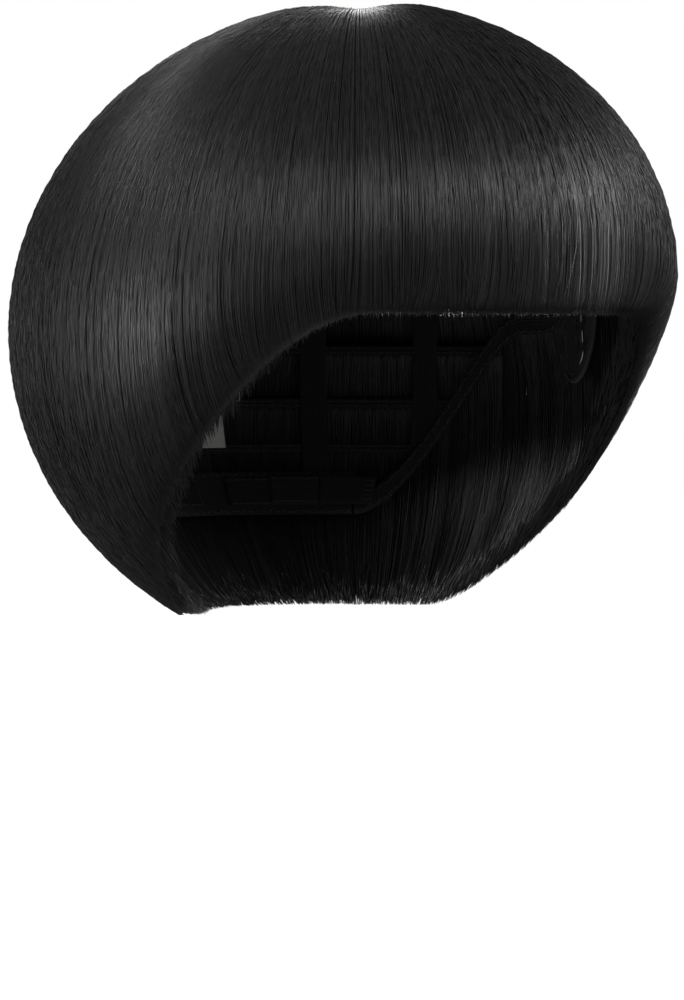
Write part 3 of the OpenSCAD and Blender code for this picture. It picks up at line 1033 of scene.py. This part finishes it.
def build_ear_tab(side):
    """One ear tab: its cloth hangs from the cap's edge, and its stay lies in a casing"""
    sign = SIDES[side]
    sizes = cap_sizes()
    surface = tab_surface(sign)
    flap = "ear_flap_" + side
    tuck, bend, binding_width, seam_inset = 0.10, 0.06, 0.0017, 0.12
    weave_depth, weave_turns = 0.00005, 140
    s, t = np.meshgrid(np.linspace(0, 1, 61), np.linspace(-tuck, 1, 61), indexing="ij")
    grain = weave_depth * np.sin(s * weave_turns) * np.sin(t * weave_turns)
    cloth = shell(
        f"ear_tab_{side}_cloth", surface(s, t, NET_TOP + grain), surface(s, t, NET_BASE + grain),
        np.stack([s * TAB_WIDTH, t * sizes.tab_length], -1),
    )
    weave = woven_finish(f"ear_tab_{side}_weave", tuple(sizes.cloth), 0.0005)
    finish_piece(cloth, weave, ["ear_tab_" + side], body=None)
    middle = (NET_BASE + NET_TOP) / 2
    hinge = Vector(surface(np.array(0.5), np.array(0.0), middle))
    down = Vector(surface(np.array(0.5), np.array(bend), middle)) - hinge
    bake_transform(cloth)

    def outline(w, inset, off):
        """Round the tab's free edge, from one top corner to the other"""
        start, end, corner = 0.04, 0.2, 3.2
        turn = np.clip(w, 0, 1) * math.pi
        u = -np.cos(turn)
        depth = np.minimum(np.sin(turn) * corner, 1)
        depth = np.where((w > end) & (w < 1 - end), 1, depth)
        return surface((1 + u * (1 - inset)) / 2, start + (depth - start) * (1 - inset), off)

    w = np.linspace(0, 1, 121)[None, :]
    edge = outline(w, 0.02, middle)
    binding = tubes(f"ear_tab_{side}_binding", edge, np.full(edge.shape[:2], binding_width),
                    unit(edge[:, edge.shape[1] // 2]), sides=10)
    finish_piece(binding, thread_finish(f"ear_tab_{side}_binding_thread", sizes.cloth),
                 body=flap)
    edge_length = 0.06
    stitches = stitch_rows(f"ear_tab_{side}_stitches",
                           lambda a, b, off: outline(a, seam_inset + b, off), edge_length, (0,),
                           NET_BASE, -1, body=flap)
    build_stay(side, surface, flap)


def build_stay(side, tab, flap):
    """The bendable strip down the tab's middle, and the casing of three keepers that holds it"""
    sizes = cap_sizes()
    rounding, keeper_height, keeper_arch, keeper_length = 0.00012, 0.0028, 0.0004, 0.055
    half = STAY_WIDTH / 2 / TAB_WIDTH
    keeper_share = half * 5
    first = (sizes.tab_length - STAY_LENGTH) / 2 / sizes.tab_length
    span = STAY_LENGTH / sizes.tab_length

    def strip(u, v, off):
        """u runs across the strip and v along it, with round ends"""
        end = np.abs(2 * v - 1)
        round_end = STAY_WIDTH / STAY_LENGTH
        inside = np.clip((1 - end) / round_end, 0, 1)
        narrow = np.sqrt(np.clip(1 - (1 - inside) ** 2, 0.0001, 1))
        return tab(0.5 + half * u * narrow, first + span * v, off)

    u, v = np.meshgrid(np.linspace(-1, 1, 13), np.linspace(0, 1, 81), indexing="ij")
    crown = rounding * (1 - u**2)
    obj = shell(f"ear_stay_{side}_strip", strip(u, v, TAPE_TOP + 0 * u),
                strip(u, v, TAPE_BASE + 0.0002 - crown))
    finish_piece(obj, steel_finish(f"ear_stay_{side}_steel"), ["ear_stay_" + side],
                 body=flap)

    def casing(w, t, off):
        """A short keeper across the strip; w runs across the tab"""
        return tab(0.5 + (w - 0.5) * keeper_share, t, off)

    for i, at in enumerate((0.22, 0.5, 0.78)):
        def keeper(w, t, off, at=at):
            arch = keeper_arch * smooth((0.5 - np.abs(w - 0.5)) / 0.25)
            return casing(w, at + keeper_length * t, off - arch)

        cloth_band(f"ear_stay_{side}_keeper_{i + 1}", keeper, keeper_share * TAB_WIDTH,
                   keeper_height, TAPE_BASE + 0.0001, TAPE_BASE + 0.0004, ribs=3,
                   body=flap)


# ---------------------------------------------------------------- nape adjusters


def nape_point(sign, along, tilt, off):
    """A place on the adjusters' path: along is counted from the middle of the nape, in metres"""
    turn = along / STRAP_RADIUS
    r = cap_radius(180, tilt, off) - STRAP_AXIS_Y
    x = sign * r * np.sin(turn)
    y = STRAP_AXIS_Y + r * np.cos(turn)
    return np.stack(np.broadcast_arrays(x, y, cap_height(tilt, off)), -1)


def nape_strip(sign, first, last):
    """The surface of a tape on the adjusters' path, from one place along the nape to another"""
    half = math.degrees(STRAP_HEIGHT / 2 / CAP_DROP)

    def surface(s, t, off):
        return nape_point(sign, mix(first, last, s), STRAP_TILT + half * t, off)

    return surface


def pile(name, surface, length, off, way, body, profile):
    """Rows of tiny loops or hooks; profile gives each one's places along and out"""
    pitch, thread, filled = 0.0009, 0.00013, 0.93
    columns = int(length / pitch)
    rows = int(STRAP_HEIGHT / pitch)
    s, t = np.meshgrid((np.arange(columns) + 0.5) / columns,
                       ((np.arange(rows) + 0.5) / rows * 2 - 1) * filled, indexing="ij")
    rng = np.random.default_rng(len(name))
    s = s.ravel() + rng.normal(0, 0.1 / columns, s.size)
    t = t.ravel() + rng.normal(0, 0.05 / rows, t.size)
    along, out = np.array(profile).T
    path_s = s[:, None] + along[None, :] / length
    path_t = t[:, None] + 0 * path_s
    paths = surface(path_s, path_t, off + way * out[None, :] + 0 * path_s)
    across = surface(s, t + 0.01, off) - surface(s, t, off)
    obj = tubes(name, paths, np.full(paths.shape[:2], thread), unit(across))
    return finish_piece(obj, pile_finish(name + "_nylon", cap_sizes().cloth), body=body)


# Places along the tape and out of it, in metres, that one loop and one hook pass through
LOOP_PROFILE = (
    (-0.00030, -0.0001), (-0.00034, 0.00008), (-0.00018, 0.00018),
    (0.00018, 0.00018), (0.00034, 0.00008), (0.00030, -0.0001),
)
HOOK_PROFILE = (
    (0.0, -0.0001), (0.0, 0.00008), (0.00008, 0.00016), (0.00022, 0.00017), (0.00028, 0.00008),
)


def build_adjuster(side):
    """One adjuster: loop tape on the cap, elastic strap, and the hook tape on the strap's end"""
    sign = SIDES[side]
    end_body = "strap_end_" + side
    centre_gap, sewn_length, end_margin, anchor_length = 0.006, 0.004, 0.0005, 0.012
    seams = (-0.86, 0.86)
    hook_start = centre_gap + STRAP_TRAVEL
    hook_end = hook_start + HOOK_LENGTH
    loops = nape_strip(sign, centre_gap, hook_end)
    loop_name = "loop_tape_" + side
    cloth_band(loop_name + "_cloth", loops, hook_end - centre_gap, STRAP_HEIGHT, LOOP_BASE,
               LOOP_BASE + TAPE_THICK, nodes=[loop_name])
    pile(loop_name + "_loops", loops, hook_end - centre_gap, LOOP_BASE, -1, BODY,
         LOOP_PROFILE)
    stitch_rows(loop_name + "_stitches", loops, hook_end - centre_gap, seams,
                LOOP_BASE, -1)

    hooks = nape_strip(sign, hook_start, hook_end)
    hook_name = "hook_tape_" + side
    cloth_band(hook_name + "_cloth", hooks, HOOK_LENGTH, STRAP_HEIGHT, STRAP_BASE, STRAP_TOP,
               nodes=[hook_name], body=end_body)
    pile(hook_name + "_hooks", hooks, HOOK_LENGTH, STRAP_TOP, 1, end_body, HOOK_PROFILE)
    stitch_rows(hook_name + "_stitches", hooks, HOOK_LENGTH, seams, STRAP_BASE, -1,
                body=end_body)

    strap_start = hook_end + MOVING_GAP
    strap_end = strap_start + STRAP_LENGTH
    strap = nape_strip(sign, strap_start, strap_end)
    name = "adjuster_strap_" + side
    obj = cloth_band(name + "_elastic", strap, STRAP_LENGTH, STRAP_HEIGHT, STRAP_BASE, STRAP_TOP,
                     gather=0.00012, nodes=[name], body=None)
    sewn = Vector(nape_point(sign, strap_end - SEAM, STRAP_TILT, STRAP_BASE))
    loose = Vector(nape_point(sign, strap_start, STRAP_TILT, STRAP_BASE))
    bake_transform(obj)
    anchor = nape_strip(sign, strap_end - sewn_length, strap_end - end_margin)
    stitches = stitch_rows(name + "_stitches", anchor, anchor_length,
                           (-0.7, -0.35, 0, 0.35, 0.7), STRAP_BASE, -1)


# ---------------------------------------------------------------- care label


def build_label():
    """A plain woven flap, which hangs from its sewn top edge and curls a little"""
    box_low, box_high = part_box("care_label")
    half_width = box_high[X]
    hem_z = JOINTS["label_flip"]["pos_m"][Z]
    hem_y = JOINTS["label_flip"]["pos_m"][Y]
    foot_y = box_low[Y]
    thick, weave_depth, weave_turns = 0.0003, 0.00003, 300
    side_curl, end_curl, curl_allowance = 0.0006, 0.0005, 1.02
    hem_start, hem_place, hem_row = 0.03, 0.045, 0.04

    def surface(s, t, off):
        curl = side_curl * np.sin(np.pi * t * 0.9) * (2 * s - 1) ** 2 + end_curl * t**3
        y = mix(hem_y, foot_y, t) - curl + off
        return np.stack(np.broadcast_arrays(half_width * (2 * s - 1), y,
                                            mix(hem_z, box_low[Z], t)), -1)

    def hem_surface(w, row, off):
        return surface(mix(hem_start, 1 - hem_start, w), hem_place + hem_row * row, off)

    s, t = np.meshgrid(np.linspace(0, 1, 67), np.linspace(0, 1, 85), indexing="ij")
    rib = weave_depth * np.sin(t * weave_turns)
    length = hem_z - box_low[Z]
    label = shell("care_label_cloth", surface(s, t, rib), surface(s, t, rib - thick),
                  np.stack([s * 2 * half_width, t * length], -1))
    finish_piece(label, woven_finish("care_label_weave", tuple(cap_sizes().label), 0.0004, 0.5),
                 ["care_label"], body="label_flap")
    pale = shade(cap_sizes().label, 0.7)
    hem = stitch_rows("care_label_hem_stitches",
                      hem_surface, 2 * half_width, (0,), -thick, -1,
                      body="label_flap", colour=pale)


# ---------------------------------------------------------------- stage


def floor_finish():
    """A pale matt floor with hardly any grain"""
    finish = Finish("stage_floor", 0.9, Emission_Strength=0.92)
    grain = finish.noise(3.0, 4.0)
    pale = finish.ramp(grain, [(0.3, (0.86, 0.86, 0.86)), (0.7, (0.9, 0.9, 0.9))])
    finish.feed("Base Color", pale)
    finish.feed("Emission Color", pale)
    return finish.material


def build_floor(sizes):
    least_radius, radius, thick = 0.01, 6, 0.01
    r, a = np.meshgrid(
        np.linspace(least_radius, radius, 30), np.arange(0, 360, 6), indexing="ij"
    )
    level = NAPE_EDGE - sizes.floor_drop
    floor = shell("floor", place(a, r, level), place(a, r, level - thick), ring=True)
    floor.data.materials.append(floor_finish())
    floor.visible_diffuse = False
    floor.visible_glossy = False
    floor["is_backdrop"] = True


LAMP_DISTANCE = 1.6
# Each square lamp's azimuth and elevation in degrees, width in metres and power in watts
LAMPS = {
    "key": (-16, 29, 0.5, 28),
    "side_left": (86, 4, 0.6, 54),
    "side_right": (-128, 0, 0.6, 9),
    "back": (150, 20, 0.6, 9),
}


def area_light(name, azimuth, elevation, size, power):
    """A square lamp that looks at the wig"""
    lamp = bpy.data.lights.new(name, "AREA")
    lamp.energy = power
    lamp.size = size
    obj = bpy.data.objects.new(name, lamp)
    bpy.context.collection.objects.link(obj)
    away = Vector((
        math.sin(math.radians(azimuth)) * math.cos(math.radians(elevation)),
        -math.cos(math.radians(azimuth)) * math.cos(math.radians(elevation)),
        math.sin(math.radians(elevation)),
    ))
    obj.location = away * LAMP_DISTANCE
    obj.rotation_euler = away.to_track_quat("Z", "Y").to_euler()


def build_camera(sizes):
    camera = bpy.data.cameras.new("camera")
    obj = bpy.data.objects.new("camera", camera)
    bpy.context.collection.objects.link(obj)
    a, e = sizes.azimuth, sizes.elevation
    back = Vector((math.sin(a) * math.cos(e), -math.cos(a) * math.cos(e), math.sin(e)))
    right = Vector((math.cos(a), math.sin(a), 0))
    target = right * sizes.target_side + Vector((0, 0, sizes.target_height))
    obj.location = target + back * sizes.distance
    obj.rotation_euler = back.to_track_quat("Z", "Y").to_euler()
    camera.sensor_fit = "AUTO"
    camera.sensor_width = 36
    camera.lens = camera.sensor_width * sizes.distance / sizes.view_height
    camera.clip_start = 0.01
    bpy.context.scene.camera = obj


def build_world():
    """Plain white behind the wig, and a weaker soft light from all round"""
    surrounding, behind = 0.26, 1.0
    world = bpy.data.worlds.new("studio")
    world.use_nodes = True
    nodes = world.node_tree.nodes
    links = world.node_tree.links
    background = nodes["Background"]
    background.inputs["Color"].default_value = (1, 1, 1, 1)
    path = nodes.new("ShaderNodeLightPath")
    strength = nodes.new("ShaderNodeMapRange")
    strength.inputs["To Min"].default_value = surrounding
    strength.inputs["To Max"].default_value = behind
    links.new(path.outputs["Is Camera Ray"], strength.inputs["Value"])
    links.new(strength.outputs["Result"], background.inputs["Strength"])
    bpy.context.scene.world = world
    bpy.context.scene.view_settings.view_transform = "Standard"


# ---------------------------------------------------------------- operators and panel


class WIG_OT_crown_hair(bpy.types.Operator):
    """Fan the crown hair out from the whorl in six locks"""

    bl_idname = "wig.crown_hair"
    bl_label = "Crown hair"

    def execute(self, context):
        for seed, name in enumerate(CROWN_LOCKS):
            crown_lock(name, seed + 1)
        return {"FINISHED"}


class WIG_OT_fringe(bpy.types.Operator):
    """Sew the fringe's three wefts above the brow"""

    bl_idname = "wig.fringe"
    bl_label = "Fringe wefts"

    def execute(self, context):
        count = len(FRINGE_TILTS)
        step = (1 - CROWN_SHARE) / count
        for n, drop in enumerate(FRINGE_TILTS):
            weft(f"fringe_weft_{n + 1}", -FRINGE_END, FRINGE_END,
                 lambda a, drop=drop: edge_tilt(a) - drop, step * n, step * (n + 1), 20 + n)
        return {"FINISHED"}


class WIG_OT_back_wefts(bpy.types.Operator):
    """Sew the seven wefts round the back and sides"""

    bl_idname = "wig.back_wefts"
    bl_label = "Back wefts"

    def execute(self, context):
        step = (1 - CROWN_SHARE) / len(BACK_TRACKS)
        for n, (height, end) in enumerate(BACK_TRACKS):
            weft(f"back_weft_{n + 1}", end, 360 - end,
                 lambda a, height=height: tilt_at(height, HAIR_BASE) + 0 * np.asarray(a),
                 step * n, step * (n + 1), 30 + n)
        return {"FINISHED"}


class WIG_OT_net(bpy.types.Operator):
    """Stretch the crown net over the cap and close its hole with the whorl patch"""

    bl_idname = "wig.net"
    bl_label = "Crown net"

    def execute(self, context):
        build_net()
        build_patch()
        return {"FINISHED"}


class WIG_OT_bands(bpy.types.Operator):
    """Sew the front band, ear bindings, nape band and elastic ribbons to the cap"""

    bl_idname = "wig.bands"
    bl_label = "Bands and ribbons"

    def execute(self, context):
        build_bands()
        return {"FINISHED"}


class WIG_OT_ear_tabs(bpy.types.Operator):
    """Hang an ear tab with its bendable stay at each temple"""

    bl_idname = "wig.ear_tabs"
    bl_label = "Ear tabs"

    def execute(self, context):
        for side in SIDES:
            build_ear_tab(side)
        return {"FINISHED"}


class WIG_OT_adjusters(bpy.types.Operator):
    """Make the two elastic straps at the nape, with their hook and loop tapes"""

    bl_idname = "wig.adjusters"
    bl_label = "Nape adjusters"

    def execute(self, context):
        for side in SIDES:
            build_adjuster(side)
        return {"FINISHED"}


class WIG_OT_label(bpy.types.Operator):
    """Hang the plain care label inside the centre ribbon"""

    bl_idname = "wig.label"
    bl_label = "Care label"

    def execute(self, context):
        build_label()
        return {"FINISHED"}


class WIG_OT_stage(bpy.types.Operator):
    """Set the pale floor, the soft studio light and the camera"""

    bl_idname = "wig.stage"
    bl_label = "Stage"

    def execute(self, context):
        sizes = context.scene.wig_stage
        build_floor(sizes)
        build_world()
        for name, lamp in LAMPS.items():
            area_light(name, *lamp)
        build_camera(sizes)
        return {"FINISHED"}


class WIG_PT_pieces(bpy.types.Panel):
    """Builds the wig, one group of pieces at a time"""

    bl_label = "Wig"
    bl_idname = "WIG_PT_pieces"
    bl_space_type = "VIEW_3D"
    bl_region_type = "UI"
    bl_category = "Wig"

    def draw(self, context):
        for operator in OPERATORS:
            self.layout.operator(operator.bl_idname)


OPERATORS = (
    WIG_OT_crown_hair,
    WIG_OT_fringe,
    WIG_OT_back_wefts,
    WIG_OT_net,
    WIG_OT_bands,
    WIG_OT_ear_tabs,
    WIG_OT_adjusters,
    WIG_OT_label,
    WIG_OT_stage,
)
GROUPS = {"wig_hair": WigHair, "wig_cap": WigCap, "wig_stage": WigStage}
CLASSES = (*GROUPS.values(), *OPERATORS, WIG_PT_pieces)


def register():
    for item in CLASSES:
        bpy.utils.register_class(item)
    for name, group in GROUPS.items():
        setattr(bpy.types.Scene, name, bpy.props.PointerProperty(type=group))


def unregister():
    for name in GROUPS:
        delattr(bpy.types.Scene, name)
    for item in reversed(CLASSES):
        bpy.utils.unregister_class(item)


def corners(box):
    return [list(corner) for corner in box]


def main():
    register()
    bpy.ops.wig.crown_hair()
    bpy.ops.wig.fringe()
    bpy.ops.wig.back_wefts()
    bpy.ops.wig.net()
    bpy.ops.wig.bands()
    bpy.ops.wig.ear_tabs()
    bpy.ops.wig.adjusters()
    bpy.ops.wig.label()
    bpy.ops.wig.stage()
    {"model": corners(MODEL_BOX), "visual": corners(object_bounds())}


if __name__ == "__main__":
    main()
